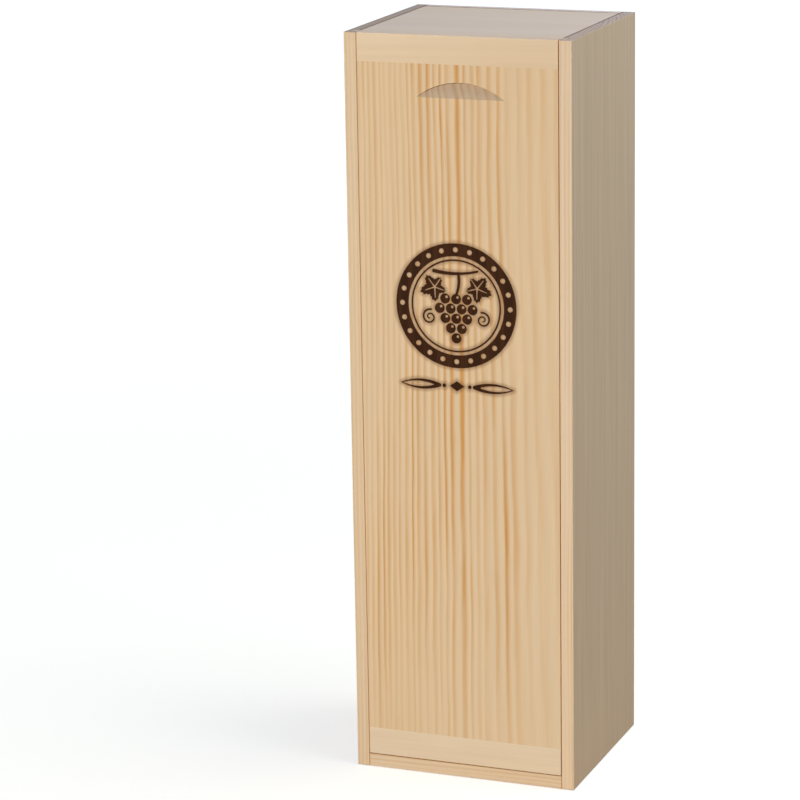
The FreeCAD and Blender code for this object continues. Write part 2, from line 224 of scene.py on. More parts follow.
def late_wood(tree, point, cut):
    """The share of autumn wood: it climbs through each ring, higher in the strong part of the log."""
    radius, count = ring_number(tree, point, cut)
    season = sums(tree, "FRACT", count)
    climb = ramp(tree, season, *CLIMB)
    fall = ramp(tree, season, *FALL, 1.0, 0.0)
    year = step(tree, "TexWhiteNoise", {"W": sums(tree, "FLOOR", count)}, noise_dimensions="1D")
    good_year = ramp(tree, year, 0.0, 1.0, POOREST_YEAR, 1.0)
    patchy = ramp(tree, cloud(tree, point, across=150, along=14), 0.3, 0.7, 0.5, 1.2)
    band = strong_part(tree, point, radius, cut.strong)
    return product(tree, climb, fall, good_year, band, patchy, cut.strength)


print("autumn starts at", CLIMB[0], "of a ring and ends at", FALL[1])

# %% [markdown]
# ## The colour of one board
#
# On top of the rings come things that are smaller than a ring: fibres, which run along the grain as fine
# streaks, and resin ducts, short faint dashes that only show close up. Where fibres are cut across they
# drink in light, so end grain is darker and greyer, with the rings darker still, and a cut that slopes
# through the fibres lies in between. The surface normal tells how much a spot is cut across.

# %% Pine colours
HONEY = tone(224, 188, 140)
RESIN = tone(170, 125, 80)
HONEY_SHARE = 0.35
RESIN_SHARE = 0.16
ALL_CUT = 0.55
FIBRE_SWING = 0.11
STREAK_SWING = 0.11
FAINT_ON_SLOPES = 0.45
RING_SHADE = 0.8


def cut_across(tree, cut):
    """From 0 on the sides of the board to 1 where the surface faces along the grain."""
    x, _, z = axes(tree, "Normal")
    facing = z if cut.grain == GRAIN_UP else x
    return ramp(tree, sums(tree, "ABSOLUTE", facing), 0.0, ALL_CUT)


def resin_ducts(tree, point):
    """Short dashes along the grain: the middles of cells that are twenty times longer than wide."""
    cells = step(tree, "VectorMath", {0: point, 1: (420, 420, 21)}, operation="MULTIPLY")
    middle = step(tree, "TexVoronoi", {"Vector": cells, "Scale": 1.0}, output="Distance")
    return ramp(tree, middle, 0.03, 0.11, RESIN_SHARE, 0.0)


def pine_colour(tree, cut):
    """Returns the colour of the wood, its late wood and its fibres."""
    point = in_the_log(tree, cut)
    across = cut_across(tree, cut)
    late = late_wood(tree, point, cut)
    face_late = product(tree, late, ramp(tree, across, 0.0, 0.25, 1.0, FAINT_ON_SLOPES))
    broad = ramp(tree, cloud(tree, point, across=24, along=3), 0.35, 0.7, 0.0, HONEY_SHARE)
    colour = mixed(tree, broad, cut.early, HONEY)
    colour = mixed(tree, face_late, colour, cut.late)
    fibres = cloud(tree, point, across=950, along=14, detail=3.0)
    streaks = cloud(tree, point, across=280, along=4)
    shade = sums(tree, "ADD", swing(tree, fibres, FIBRE_SWING), swing(tree, streaks, STREAK_SWING))
    colour = mixed(tree, 1.0, colour, sums(tree, "ADD", shade, 1.0), "MULTIPLY")
    colour = mixed(tree, resin_ducts(tree, point), colour, RESIN)
    dark_rings = sums(tree, "SUBTRACT", 1.0, product(tree, late, across, across, RING_SHADE))
    ends = mixed(tree, 1.0, mixed(tree, 1.0, colour, cut.ends, "MULTIPLY"), dark_rings, "MULTIPLY")
    return mixed(tree, across, colour, ends), late, fibres


print("fibres swing the colour by", FIBRE_SWING, "and streaks by", STREAK_SWING)

# %% [markdown]
# ## The finish of one board
#
# The shader gets the colour, a dry, planed roughness that is a little smoother on the dense late wood, and
# a bump so slight that it only shows in raking light. Some boards are touched after planing: sanded, rubbed
# with beeswax or burned. Some also get painted shade: warm shade in the seams round the lid, dark shade at
# the joints on top, and a cool grey on what faces up. Each such dressing is a small function that takes
# colour and roughness and hands them on changed, so a finish can wear as many of them as it needs.

# %% A pine finish
DRY_WOOD = 0.62
LATE_POLISH = 0.12
LATE_RIDGE = 0.5
DULL = 0.05
BUMP_STRENGTH = 0.18
BUMP_HEIGHT = 0.0002


def pine_finish(name, cut, *dressings):
    """A material for boards of one cut. Each dressing may change colour and roughness on top."""
    material = bpy.data.materials.new(name)
    material.use_nodes = True
    tree = material.node_tree
    shader = tree.nodes["Principled BSDF"]
    shader.inputs["Specular IOR Level"].default_value = DULL
    colour, late, fibres = pine_colour(tree, cut)
    rough = sums(tree, "SUBTRACT", DRY_WOOD, sums(tree, "MULTIPLY", late, LATE_POLISH))
    height = sums(tree, "ADD", sums(tree, "MULTIPLY", late, LATE_RIDGE), fibres)
    for dressing in dressings:
        colour, rough = dressing(tree, colour, rough)
    bump = {"Strength": BUMP_STRENGTH, "Distance": BUMP_HEIGHT, "Height": height}
    tree.links.new(colour, shader.inputs["Base Color"])
    tree.links.new(rough, shader.inputs["Roughness"])
    tree.links.new(step(tree, "Bump", bump), shader.inputs["Normal"])
    return material


def dress(material, *names):
    """Gives a material to the named boards."""
    for name in names:
        mesh = boards[name].data
        mesh.materials.clear()
        mesh.materials.append(material)
    print(material.name, "on", ", ".join(names))


print("dry pine has roughness", DRY_WOOD)

# %% [markdown]
# ## Painted shade in the seams, and beeswax
#
# The seams around the lid are narrow gaps, and the shade in them looks warm and brown. That shade is
# painted: the walls of the grooves and tongues, and the arrises beside them, get a deeper, warmer colour,
# which makes thin brown lines around the lid on the closed box. The same places are rubbed with beeswax, as
# a sliding lid is, and that makes them a little smoother. None of it is laid on by hand: the measures of
# the frame say where wood slides on wood, and the colour deepens there.

# %% Painted seam shade and beeswax
# A warm brown painted shade for the seams around the lid, and for the grooves and arrises beside them.
PAINTED_SEAM_SHADE = tone(208, 150, 90)
WAX_SHINE = 0.15
SEAM_PAST_CORNER = 0.0005
SEAM_IN_GROOVE = 0.0032
FOOT_SEAM_END = 0.051
ARRIS = 0.00035
ARRIS_SEAM_SHARE = 0.55
SOFT_EDGE = 0.0001
BEHIND_FACE = 0.00004
SIDE_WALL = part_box("top_board")[1][0]
GROOVE_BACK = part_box("top_board")[0][1]
BOTTOM_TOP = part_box("bottom_board")[1][2]
LID_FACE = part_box("lid_panel")[0][1]


def between(tree, amount, low, high):
    """1 between two limits and 0 outside them, with a soft change at both."""
    enter = ramp(tree, amount, low, low + SOFT_EDGE)
    leave = ramp(tree, amount, high - SOFT_EDGE, high, 1.0, 0.0)
    return sums(tree, "MULTIPLY", enter, leave)


def seam_shade_and_wax(tree, colour, rough):
    """Paints warm seam shade in the grooves of sides and bottom, on the lid's edges that run in them and on
    the arrises beside them; beeswax there also makes them smoother.
    """
    x, y, z = axes(tree, "Object")
    side = sums(tree, "ABSOLUTE", x)
    upright = ramp(tree, sums(tree, "ABSOLUTE", axes(tree, "Normal")[2]), 0.3, 0.7, 1.0, 0.0)
    depth = between(tree, y, LID_FACE + BEHIND_FACE, GROOVE_BACK + SOFT_EDGE)
    long_groove = between(tree, side, SIDE_WALL - SEAM_PAST_CORNER, SIDE_WALL + SEAM_IN_GROOVE)
    foot_groove = between(tree, z, BOTTOM_TOP - SEAM_IN_GROOVE, BOTTOM_TOP + SEAM_PAST_CORNER)
    foot_reach = ramp(tree, side, FOOT_SEAM_END, FOOT_SEAM_END + 2 * SOFT_EDGE, 1.0, 0.0)
    in_long = product(tree, long_groove, upright)
    in_foot = product(tree, foot_groove, foot_reach)
    grooves = product(tree, depth, sums(tree, "MAXIMUM", in_long, in_foot))
    front = ramp(tree, y, LID_FACE + ARRIS, LID_FACE + 2 * ARRIS, ARRIS_SEAM_SHARE, 0.0)
    long_arris = product(tree, between(tree, side, SIDE_WALL - ARRIS, SIDE_WALL + ARRIS), upright)
    inside = ramp(tree, side, SIDE_WALL, SIDE_WALL + SOFT_EDGE, 1.0, 0.0)
    foot_arris = product(tree, between(tree, z, BOTTOM_TOP - ARRIS, BOTTOM_TOP + ARRIS), inside)
    arrises = product(tree, front, sums(tree, "MAXIMUM", long_arris, foot_arris))
    # Where wood slides: painted seam shade in the colour, and beeswax in the roughness.
    shade_and_wax = sums(tree, "MAXIMUM", grooves, arrises)
    return mixed(tree, shade_and_wax, colour, PAINTED_SEAM_SHADE), sums(tree, "SUBTRACT", rough, product(tree, shade_and_wax, WAX_SHINE))


print("wax in the grooves from y", round(LID_FACE, 4), "to", round(GROOVE_BACK, 4))

# %% [markdown]
# ## Painted shade at the joints
#
# Where the top board meets the ends of the sides and of the back, a joint line shows on top of the box, and
# shade lies in it. That shade is painted as a thin dark line on the ends. A board need not be cut up for
# it: the line lies at a known distance from the middle, on what faces up or down.

# %% Painted shade at the ends
# A dark painted shade for the joint where the top board meets the ends of sides and back.
JOINT_SHADE_TONE = tone(112, 92, 78)
JOINT_SHADE_WIDTH = 0.001
JOINT_SHADE_SHARE = 0.8
BACK_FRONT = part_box("back_panel")[0][1]


def painted_joint_shade(tree, colour, rough):
    """Paints a thin line of shade on the ends of sides and back where they touch the top and bottom boards.
    """
    x, y, _ = axes(tree, "Object")
    side = sums(tree, "ABSOLUTE", x)
    level = ramp(tree, sums(tree, "ABSOLUTE", axes(tree, "Normal")[2]), 0.5, 0.9)
    on_side = between(tree, side, SIDE_WALL - SOFT_EDGE, SIDE_WALL + JOINT_SHADE_WIDTH)
    behind_lid = ramp(tree, y, GROOVE_BACK, GROOVE_BACK + SOFT_EDGE)
    inside = ramp(tree, side, SIDE_WALL - SOFT_EDGE, SIDE_WALL, 1.0, 0.0)
    on_back = between(tree, y, BACK_FRONT - SOFT_EDGE, BACK_FRONT + JOINT_SHADE_WIDTH)
    side_line = product(tree, on_side, behind_lid)
    back_line = product(tree, on_back, inside)
    line = sums(tree, "MAXIMUM", side_line, back_line)
    return mixed(tree, product(tree, line, level, JOINT_SHADE_SHARE), colour, JOINT_SHADE_TONE), rough


print("joint_shade lines", JOINT_SHADE_WIDTH, "m wide")

# %% [markdown]
# ## Sanded broad faces
#
# The sides of such a box are belt-sanded along the grain before they are glued up. Sanding evens out the
# rings on the broad faces and leaves fine, straight scratches. Edges and ends, which the belt does not
# reach, keep their clear lines. The way a surface faces tells the two apart.

# %% Sanded wood
SANDED = tone(232, 203, 169)
SCRATCHED = tone(212, 183, 149)
SANDED_SHARE = 0.75
SCRATCH_SHARE = 0.5


def sanded(tree, colour, rough):
    """Evens out the colour of what faces sideways, and draws fine scratches along the grain there."""
    place = step(tree, "TexCoord", {}, output="Object")
    broad = ramp(tree, sums(tree, "ABSOLUTE", axes(tree, "Normal")[0]), 0.6, 0.95)
    even = mixed(tree, SANDED_SHARE, colour, SANDED)
    lines = cloud(tree, place, across=480, along=8, detail=3.0)
    scratches = ramp(tree, lines, 0.3, 0.7, 0.0, SCRATCH_SHARE)
    even = mixed(tree, scratches, even, SCRATCHED)
    return mixed(tree, broad, colour, even), rough


print("sanding takes away", SANDED_SHARE, "of the contrast")

# %% [markdown]
# ## The box: sides, back, top and bottom
#
# The two sides were cut flat to the rings, with the pith far behind their inner faces and a little towards
# the front. So the front edges carry three or four close lines, the ends show rings that run from front to
# back, and the broad faces stay quiet. The back is sawn closer to the pith and shows a broad flame. Top,
# bottom and cradles have their grain lying level. All come from one batch, and the left side is a touch
# more golden than the right. The top board's rosy grey is painted light: it stands in for the cool light
# that falls on the top of the box.

# %% Materials for the box
PALE = tone(226, 202, 168)
BUTTER = tone(225, 199, 164)
FAIR = tone(230, 205, 172)
# The top board's rosy grey is painted light: it stands in for the cool light on the top of the box.
PAINTED_TOP_ROSY_GREY = tone(226, 198, 174)
AUTUMN = tone(198, 142, 80)
GREY_END = (0.61, 0.58, 0.68, 1.0)
ROSY_END = (0.71, 0.66, 0.76, 1.0)
PALE_END = (1.12, 1.09, 1.35, 1.0)
EVERYWHERE = Strong(first=0.0, last=1.0, foot=-1.0)

left_cut = Cut(
    grain=GRAIN_UP, pith=(-0.120, 0.030), lean=(0.2, 0.1), ring=0.0028,
    strength=0.36, strong=EVERYWHERE, early=BUTTER, late=AUTUMN, ends=GREY_END,
)
right_cut = left_cut._replace(pith=(0.120, 0.030), lean=(-0.2, 0.12), early=FAIR, ends=ROSY_END)
back_cut = left_cut._replace(
    pith=(0.020, 0.030), lean=(0.3, -0.2), ring=0.0024, strength=0.4, early=PALE, ends=PALE_END
)
level_cut = left_cut._replace(
    grain=GRAIN_ACROSS, pith=(0.07, 0.012), lean=(0.5, 0.4), ring=0.0016, strength=0.45, early=PALE
)
top_cut = level_cut._replace(pith=(0.45, 0.012), lean=(0.2, 0.2), ring=0.003, strength=0.1, early=PAINTED_TOP_ROSY_GREY)

dress(pine_finish("left_side_pine", left_cut, sanded, seam_shade_and_wax, painted_joint_shade), "left_side_board")
dress(pine_finish("right_side_pine", right_cut, sanded, seam_shade_and_wax, painted_joint_shade), "right_side_board")
dress(pine_finish("back_pine", back_cut, painted_joint_shade), "back_panel")
dress(pine_finish("top_pine", top_cut), "top_board")
dress(pine_finish("bottom_pine", level_cut, seam_shade_and_wax), "bottom_board")
dress(pine_finish("cradle_pine", level_cut), "neck_cradle", "body_cradle")

# %% [markdown]
# ## The burn on the lid
#
# A hot iron leaves three zones: charred wood where it pressed, a narrow scorched rim around it, and clean
# wood beyond. If every point carries one number, its heat, the shader can make all three. Heat is 1 along
# the edge of the iron and falls to nothing eight millimetres away. Wood without the number counts as
# cold, so the same finish serves the lid panel and the burned mark, and the grain runs through from one
# to the other.

# %% Scorched pine
SCORCH = tone(128, 78, 38)
CHAR = tone(48, 23, 8)
THIN_CHAR = tone(64, 35, 16)
CHAR_ROUGH = 0.78
SMOKE_SWING = 0.16
NIBBLE_SWING = 0.03
RIM_SHARE = 0.55
CHAR_SHARE = 0.98


def scorched(tree, colour, rough):
    """Browns the wood towards the edge of the iron and chars it inside, both a little unevenly."""
    heat = step(tree, "Attribute", {}, output="Fac", attribute_name="iron_heat")
    place = step(tree, "TexCoord", {}, output="Object")
    smoke = swing(tree, cloud(tree, place, across=260, along=120), SMOKE_SWING)
    nibble = swing(tree, cloud(tree, place, across=1600, along=700), NIBBLE_SWING)
    rim = ramp(tree, sums(tree, "ADD", heat, smoke), 0.72, 1.03, 0.0, RIM_SHARE)
    core = ramp(tree, sums(tree, "ADD", heat, nibble), 0.98, 1.02, 0.0, CHAR_SHARE)
    thin = ramp(tree, cloud(tree, place, across=420, along=9), 0.4, 0.75)
    colour = mixed(tree, core, mixed(tree, rim, colour, SCORCH), mixed(tree, thin, CHAR, THIN_CHAR))
    rough = sums(tree, "ADD", rough, sums(tree, "MULTIPLY", core, CHAR_ROUGH - DRY_WOOD))
    return colour, rough


print("char has roughness", CHAR_ROUGH, "and clean wood", DRY_WOOD)

# %% [markdown]
# ## The lid
#
# The panel of the lid is the showpiece. Its pith lay beyond the right edge, so the rings come out broad
# and pale on the right and crowd together towards the left, with the strongest autumns in the middle.
# Towards the foot the strong lines spread and fade. The battens at its ends lie across it and are the
# palest pieces of all. They were cut flat to the rings, so instead of lines they show a few wide, soft
# flames. What faces up on the upper edge of the lid is painted a little cool grey, a painted shade for the
# light that falls on the top of the box.

# %% Materials for the lid
STRAW = tone(224, 197, 159)
CREAM = tone(230, 209, 177)
WHITE_PINE = tone(229, 206, 174)
AMBER = tone(206, 150, 84)
# On the lid only the thumb notch is cut across the fibres. Its floor is darker for that, and its cool grey
# tint is painted shade for the light on its upturned floor.
SLOPED_CUT_AND_PAINTED_SHADE = (0.59, 0.585, 0.69, 1.0)
# A painted cool grey shade for what faces up on the lid's upper edge.
PAINTED_TOP_GREY = (0.98, 0.91, 0.95, 1.0)


def painted_top_grey(tree, colour, rough):
    """Paints a little cool grey shade on what faces up: the upper edge of the lid, for the light that falls
    on the top of the box.
    """
    rise = axes(tree, "Normal")[2]
    return mixed(tree, ramp(tree, rise, 0.4, 0.8), colour, PAINTED_TOP_GREY, "MULTIPLY"), rough


lid_cut = Cut(
    grain=GRAIN_UP, pith=(-0.075, -0.053), lean=(-1.2, -1.4), ring=0.0028, strength=0.98,
    strong=Strong(first=0.115, last=0.138, foot=0.13), early=STRAW, late=AMBER, ends=SLOPED_CUT_AND_PAINTED_SHADE,
)
top_batten_cut = level_cut._replace(
    pith=(0.350, -0.035), lean=(0.5, 1.5), ring=0.004, strength=0.2, early=WHITE_PINE
)
foot_batten_cut = top_batten_cut._replace(pith=(0.002, -0.030), lean=(-0.5, 1.2), early=CREAM)

lid_pine = pine_finish("lid_pine", lid_cut, seam_shade_and_wax, scorched)
dress(lid_pine, "lid_panel")
dress(pine_finish("top_batten_pine", top_batten_cut, seam_shade_and_wax, painted_top_grey), "lid_top_batten")
dress(pine_finish("foot_batten_pine", foot_batten_cut, seam_shade_and_wax), "lid_bottom_batten")

# %% [markdown]
# ## Drawing the mark
#
# The mark is a plain vineyard medallion: a beaded ring around a bunch of grapes with two leaves, and a
# small flourish below. It could be drawn with curves and filled, but then the soft scorch around every
# line would need a drawing of its own. Distances give both at once. For every point of a fine grid, each
# shape answers how far away its edge is, with a minus sign inside. From that distance come both the heat
# and the relief.

# %% A grid for the mark
MARK_MIDDLE = (-0.0015, 0.227)
MARK_SIDE = 0.038
MARK_TOP = 0.038
MARK_FOOT = -0.047
MARK_PITCH = 0.0003


def grid_lines(low, high):
    """Evenly spaced places from low to high, about one pitch apart."""
    return np.linspace(low, high, int(round((high - low) / MARK_PITCH)) + 1)


right, up = np.meshgrid(grid_lines(-MARK_SIDE, MARK_SIDE), grid_lines(MARK_FOOT, MARK_TOP))
print("grid for the mark:", right.shape)

# %% [markdown]
# ## Shapes as distances
#
# Three plain shapes are enough for the whole mark: a disc, a ring and a stroke of changing width. The
# least of two answers joins two shapes. The larger of one answer and the other's negative cuts one shape
# out of the other. Each answer is a whole array, so no point of the grid is visited by hand.

# %% Discs, rings and strokes
def discs(centres, radius):
    """Equal discs: the distance to the nearest centre, less the radius."""
    away = [np.hypot(right - middle[0], up - middle[1]) for middle in centres]
    return np.min(away, axis=0) - radius


def hoop(radius, half_width):
    """A ring: how far the distance from the middle is from the radius, less half the ring's width."""
    return np.abs(np.hypot(right, up) - radius) - half_width


def stroke(path, start_width, end_width):
    """A line through points: the distance to its nearest run, less a half width that changes evenly."""
    path = np.asarray(path)
    half_widths = np.linspace(start_width, end_width, len(path))
    nearest = np.full(right.shape, 1.0)
    for here, there, near_width, far_width in zip(path, path[1:], half_widths, half_widths[1:]):
        run = there - here
        along = ((right - here[0]) * run[0] + (up - here[1]) * run[1]) / (run @ run)
        along = np.clip(along, 0.0, 1.0)
        gap = np.hypot(right - here[0] - along * run[0], up - here[1] - along * run[1])
        nearest = np.minimum(nearest, gap - near_width - along * (far_width - near_width))
    return nearest


def joined(*shapes):
    """Several shapes as one: the least distance."""
    return np.minimum.reduce(shapes)


def without(shape, hole):
    """A shape less a hole: the larger of its distance and the hole's distance with the sign changed."""
    return np.maximum(shape, -hole)


def covered(shape):
    """The share of the grid that lies inside a shape, where the distance is below zero."""
    return round(float((shape < 0).mean()), 3)


print("each shape answers for", right.size, "points at once")

# %% [markdown]
# ## Ring and grapes
#
# The ring is a broad band with a row of round beads left unburned, and a fine line inside it. The grapes
# are equal discs in rows that lie in each other's gaps. Each keeps a small unburned spot towards the
# upper right, and this one glint makes a flat disc look round.

# %% Beaded ring and bunch of grapes
RING = 0.026
RING_HALF = 0.003
BEAD = 0.0012
BEAD_COUNT = 24
FINE_RING = 0.0212
FINE_HALF = 0.0004

turns = np.linspace(0.0, 2 * np.pi, BEAD_COUNT, endpoint=False)
beads = np.column_stack([np.cos(turns), np.sin(turns)]) * RING
ring = joined(without(hoop(RING, RING_HALF), discs(beads, BEAD)), hoop(FINE_RING, FINE_HALF))

GRAPE = 0.0024
GRAPE_STEP = 2.2 * GRAPE
ROW_STEP = 1.9 * GRAPE
TOP_ROW = 0.0032
GRAPES_IN_ROW = [3, 4, 3, 2, 1]
GLINT = 0.26 * GRAPE

grapes = np.array(
    [
        ((place - (count - 1) / 2) * GRAPE_STEP, TOP_ROW - row * ROW_STEP)
        for row, count in enumerate(GRAPES_IN_ROW)
        for place in range(count)
    ]
)
glints = discs(grapes + np.array([0.3, 0.35]) * GRAPE, GLINT)
bunch = without(discs(grapes, GRAPE), glints)
print("beads:", len(beads), "grapes:", len(grapes))
print("ring and grapes cover", covered(joined(ring, bunch)), "of the grid")

# %% [markdown]
# ## Leaves, stalks and tendrils
#
# A vine leaf has five lobes with teeth between its veins. Seen from its middle, the distance of its edge
# is a wave: five slow swings for the lobes and twenty-five small ones for the teeth. The cane and the
# stem are strokes along a shallow bow, and the tendrils are strokes along a line that winds in.

# %% Leaves and tendrils
LOBES = 0.22
TEETH = 0.05
LEAF_TIP = 0.14
LEAF_EASE = 0.8
VEIN_REACH = 0.85
VEIN = (0.0003, 0.00015)
LEAF = 0.0058
CANE_WIDTH = (0.0009, 0.0005)
STEM_WIDTH = (0.0007, 0.0006)
TENDRIL = (0.0036, 0.0006)
TENDRIL_WIDTH = (0.00045, 0.0003)
TENDRIL_POINTS = 28


def vine_leaf(middle, turn, size):
    """A leaf with five toothed lobes: its edge is at size times (1 + a fifth of cos 5a + a little of
    cos 25a), longer towards the tip, where a is the angle about the middle. Veins are left unburned."""
    side, rise = right - middle[0], up - middle[1]
    angle = np.arctan2(rise, side) - turn
    wave = 1 + LOBES * np.cos(5 * angle) + TEETH * np.cos(25 * angle)
    edge = size * wave * (1 - LEAF_TIP + LEAF_TIP * np.cos(angle))
    leaf = (np.hypot(side, rise) - edge) * LEAF_EASE
    for lobe in np.radians([0, 72, -72, 144, -144]) + turn:
        tip = np.array(middle) + VEIN_REACH * size * np.array([np.cos(lobe), np.sin(lobe)])
        leaf = without(leaf, stroke([middle, tip], *VEIN))
    return leaf


def tendril(middle, turn, side):
    """A line that winds in: its distance from the middle shrinks evenly over one and a half turns."""
    angle = turn + side * np.linspace(0.0, 3 * np.pi, TENDRIL_POINTS)
    reach = np.linspace(*TENDRIL, TENDRIL_POINTS)
    return np.array(middle) + np.column_stack([np.cos(angle), np.sin(angle)]) * reach[:, None]


def bow(start, end, rise, count=14):
    """A line from start to end that swells sideways by rise, as a parabola does."""
    share = np.linspace(0.0, 1.0, count)[:, None]
    start, end = np.array(start), np.array(end)
    sideways = np.array([start[1] - end[1], end[0] - start[0]]) / np.hypot(*(end - start))
    return start + (end - start) * share + sideways * rise * 4 * share * (1 - share)


cane = stroke(bow(start=(-0.0105, 0.0158), end=(0.0105, 0.0166), rise=-0.0012), *CANE_WIDTH)
stem = stroke(bow(start=(0.0012, 0.0152), end=(0.0, 0.0048), rise=0.0008), *STEM_WIDTH)
leaves = joined(
    vine_leaf(middle=(-0.0102, 0.0082), turn=radians(200), size=LEAF),
    vine_leaf(middle=(0.0102, 0.0086), turn=radians(-20), size=LEAF),
)
tendrils = joined(
    stroke(tendril(middle=(-0.0128, -0.0058), turn=radians(80), side=1), *TENDRIL_WIDTH),
    stroke(tendril(middle=(0.0128, -0.0058), turn=radians(100), side=-1), *TENDRIL_WIDTH),
)
print("leaves and stalks cover", covered(joined(cane, stem, leaves, tendrils)), "of the grid")

# %% [markdown]
# ## Flourish
#
# Under the ring lies a small ornament, as a printer would set under a heading: a lozenge, a stud at each
# side of it, and two pairs of strokes that swell apart and meet again in a point. A lozenge is the
# plainest of all distances, because its edge is where the two shares of its half width and half height
# add up to one.

# %% Lozenge, studs and scrolls
FLOURISH_UP = -0.0375
LOZENGE = (0.0036, 0.0024)
LOZENGE_EASE = 0.002
STUD_PLACE = 0.0062
STUD = 0.0009
SCROLL_ENDS = (0.0085, 0.027)
SCROLL_LIFT = 0.0018
SCROLL_WIDTH = (0.0009, 0.0002)

lozenge = (np.abs(right) / LOZENGE[0] + np.abs(up - FLOURISH_UP) / LOZENGE[1] - 1) * LOZENGE_EASE
studs = discs([(-STUD_PLACE, FLOURISH_UP), (STUD_PLACE, FLOURISH_UP)], STUD)
near, far = SCROLL_ENDS
scrolls = [
    stroke(bow((side * near, FLOURISH_UP), (side * far, FLOURISH_UP), side * lift), *SCROLL_WIDTH)
    for side in (-1, 1)
    for lift in (SCROLL_LIFT, -SCROLL_LIFT)
]
mark = joined(ring, bunch, cane, stem, leaves, tendrils, lozenge, studs, *scrolls)
print("the whole mark covers", covered(mark), "of the grid")

# %% [markdown]
# ## Pressing the mark into the lid
#
# The iron leaves the burned lines a little lower than the wood around them. The mark is a thin skin laid
# on the lid: its face is the grid, raised between the lines and sinking into the panel all round, so that
# no border shows. Walls and a flat underside inside the panel close it. The lid's face lies slightly
# behind the front edges of the sides, so the skin stays within the box.

# %% Heat and relief
HEAT_REACH = 0.008
HOTTEST = 1.5
RELIEF = 0.00008
PRESSED = 0.00002
PRESS_EDGE = 0.0005
FADE = 0.007
DIP = 0.00004


def eased(share):
    """A share from 0 to 1 that starts and ends softly: 3 of its squares less 2 of its cubes."""
    share = np.clip(share, 0.0, 1.0)
    return share * share * (3 - 2 * share)


heat = np.clip(1 - mark / HEAT_REACH, 0.0, HOTTEST)
border = np.minimum(MARK_SIDE - np.abs(right), np.minimum(MARK_TOP - up, up - MARK_FOOT))
fade = eased(border / FADE)
raised = PRESSED + (RELIEF - PRESSED) * eased(mark / PRESS_EDGE + 0.5)
relief = fade * raised - (1 - fade) * DIP
print("relief from", round(relief.min() * 1000, 3), "to", round(relief.max() * 1000, 3), "mm")

# %% [markdown]
# ## The burned mark as a piece
#
# A grid becomes a mesh in one go: number its points, and every square is four numbers. The rim of the
# grid, walked once around, gives the walls and the fan of triangles that closes the underside. The heat
# rides along as an attribute of the points. The piece wears the same pine as the lid panel and moves with
# the lid.

# %% The burned mark
SKIN_DEPTH = 0.0006


def skin_mesh(name, height):
    """The grid at a height over the lid, walls down from its border, and a fan for the underside."""
    rows, columns = height.shape
    number = np.arange(rows * columns).reshape(rows, columns)
    x = right.ravel() + MARK_MIDDLE[0]
    z = up.ravel() + MARK_MIDDLE[1]
    face = np.column_stack([x, LID_FACE - height.ravel(), z])
    rim = np.concatenate([number[0, :-1], number[:-1, -1], number[-1, :0:-1], number[:0:-1, 0]])
    under = face[rim]
    under[:, 1] = LID_FACE + SKIN_DEPTH
    middle = under.mean(axis=0)
    lower = number.size + np.arange(len(rim))
    following = np.roll(np.arange(len(rim)), -1)
    quads = np.stack([number[:-1, :-1], number[:-1, 1:], number[1:, 1:], number[1:, :-1]], axis=-1)
    walls = np.column_stack([rim, lower, lower[following], rim[following]])
    fan = np.column_stack([lower, np.full(len(rim), number.size + len(rim)), lower[following]])
    mesh = bpy.data.meshes.new(name)
    points = np.vstack([face, under, middle])
    faces = quads.reshape(-1, 4).tolist() + walls.tolist() + fan.tolist()
    mesh.from_pydata(points.tolist(), [], faces)
    mesh.update()
    smooth = np.zeros(len(mesh.polygons), dtype=bool)
    smooth[: quads.size // 4] = True
    mesh.polygons.foreach_set("use_smooth", smooth)
    return mesh


mark_mesh = skin_mesh("burned_mark", relief)
warmth = mark_mesh.attributes.new("iron_heat", "FLOAT", "POINT")
cold_part = np.zeros(len(mark_mesh.vertices) - heat.size)
warmth.data.foreach_set("value", np.concatenate([heat.ravel(), cold_part]))
mark_mesh.materials.append(lid_pine)
burned_mark = bpy.data.objects.new("burned_mark", mark_mesh)
bpy.context.scene.collection.objects.link(burned_mark)
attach(burned_mark, "lid")
print("burned mark:", len(mark_mesh.polygons), "faces")

# %% [markdown]
# ## Pins and brads
#
# The pins are beech, which has a close, even grain, so the same log serves with narrow rings and little
# contrast. The brads are drawn steel wire. Metal gets its looks from what it reflects, so its material is
# a metal with uneven roughness rather than a pattern.

# %% Materials for the fasteners
BEECH = tone(205, 170, 130)
BEECH_LATE = tone(165, 120, 80)
BRIGHT_WIRE = tone(190, 190, 192)
TARNISH = tone(128, 122, 116)
WIRE_ROUGH = (0.28, 0.5)

beech_cut = level_cut._replace(
    pith=(0.1, 0.1), lean=(0.0, 0.0), ring=0.0012, strength=0.3, early=BEECH, late=BEECH_LATE
)
dress(
    pine_finish("pin_beech", beech_cut),
    "top_left_pins", "top_right_pins", "bottom_left_pins", "bottom_right_pins",
)


def wire_steel(name):
    """Bright drawn wire with a little tarnish."""
    material = bpy.data.materials.new(name)
    material.use_nodes = True
    tree = material.node_tree
    shader = tree.nodes["Principled BSDF"]
    shader.inputs["Metallic"].default_value = 1.0
    place = step(tree, "TexCoord", {}, output="Object")
    tarnish = ramp(tree, cloud(tree, place, across=1500, along=1500), 0.35, 0.7)
    tree.links.new(mixed(tree, tarnish, BRIGHT_WIRE, TARNISH), shader.inputs["Base Color"])
    tree.links.new(ramp(tree, tarnish, 0.0, 1.0, *WIRE_ROUGH), shader.inputs["Roughness"])
    return material


dress(
    wire_steel("brad_steel"),
    "top_brads", "bottom_brads", "neck_cradle_brads", "body_cradle_brads",
)

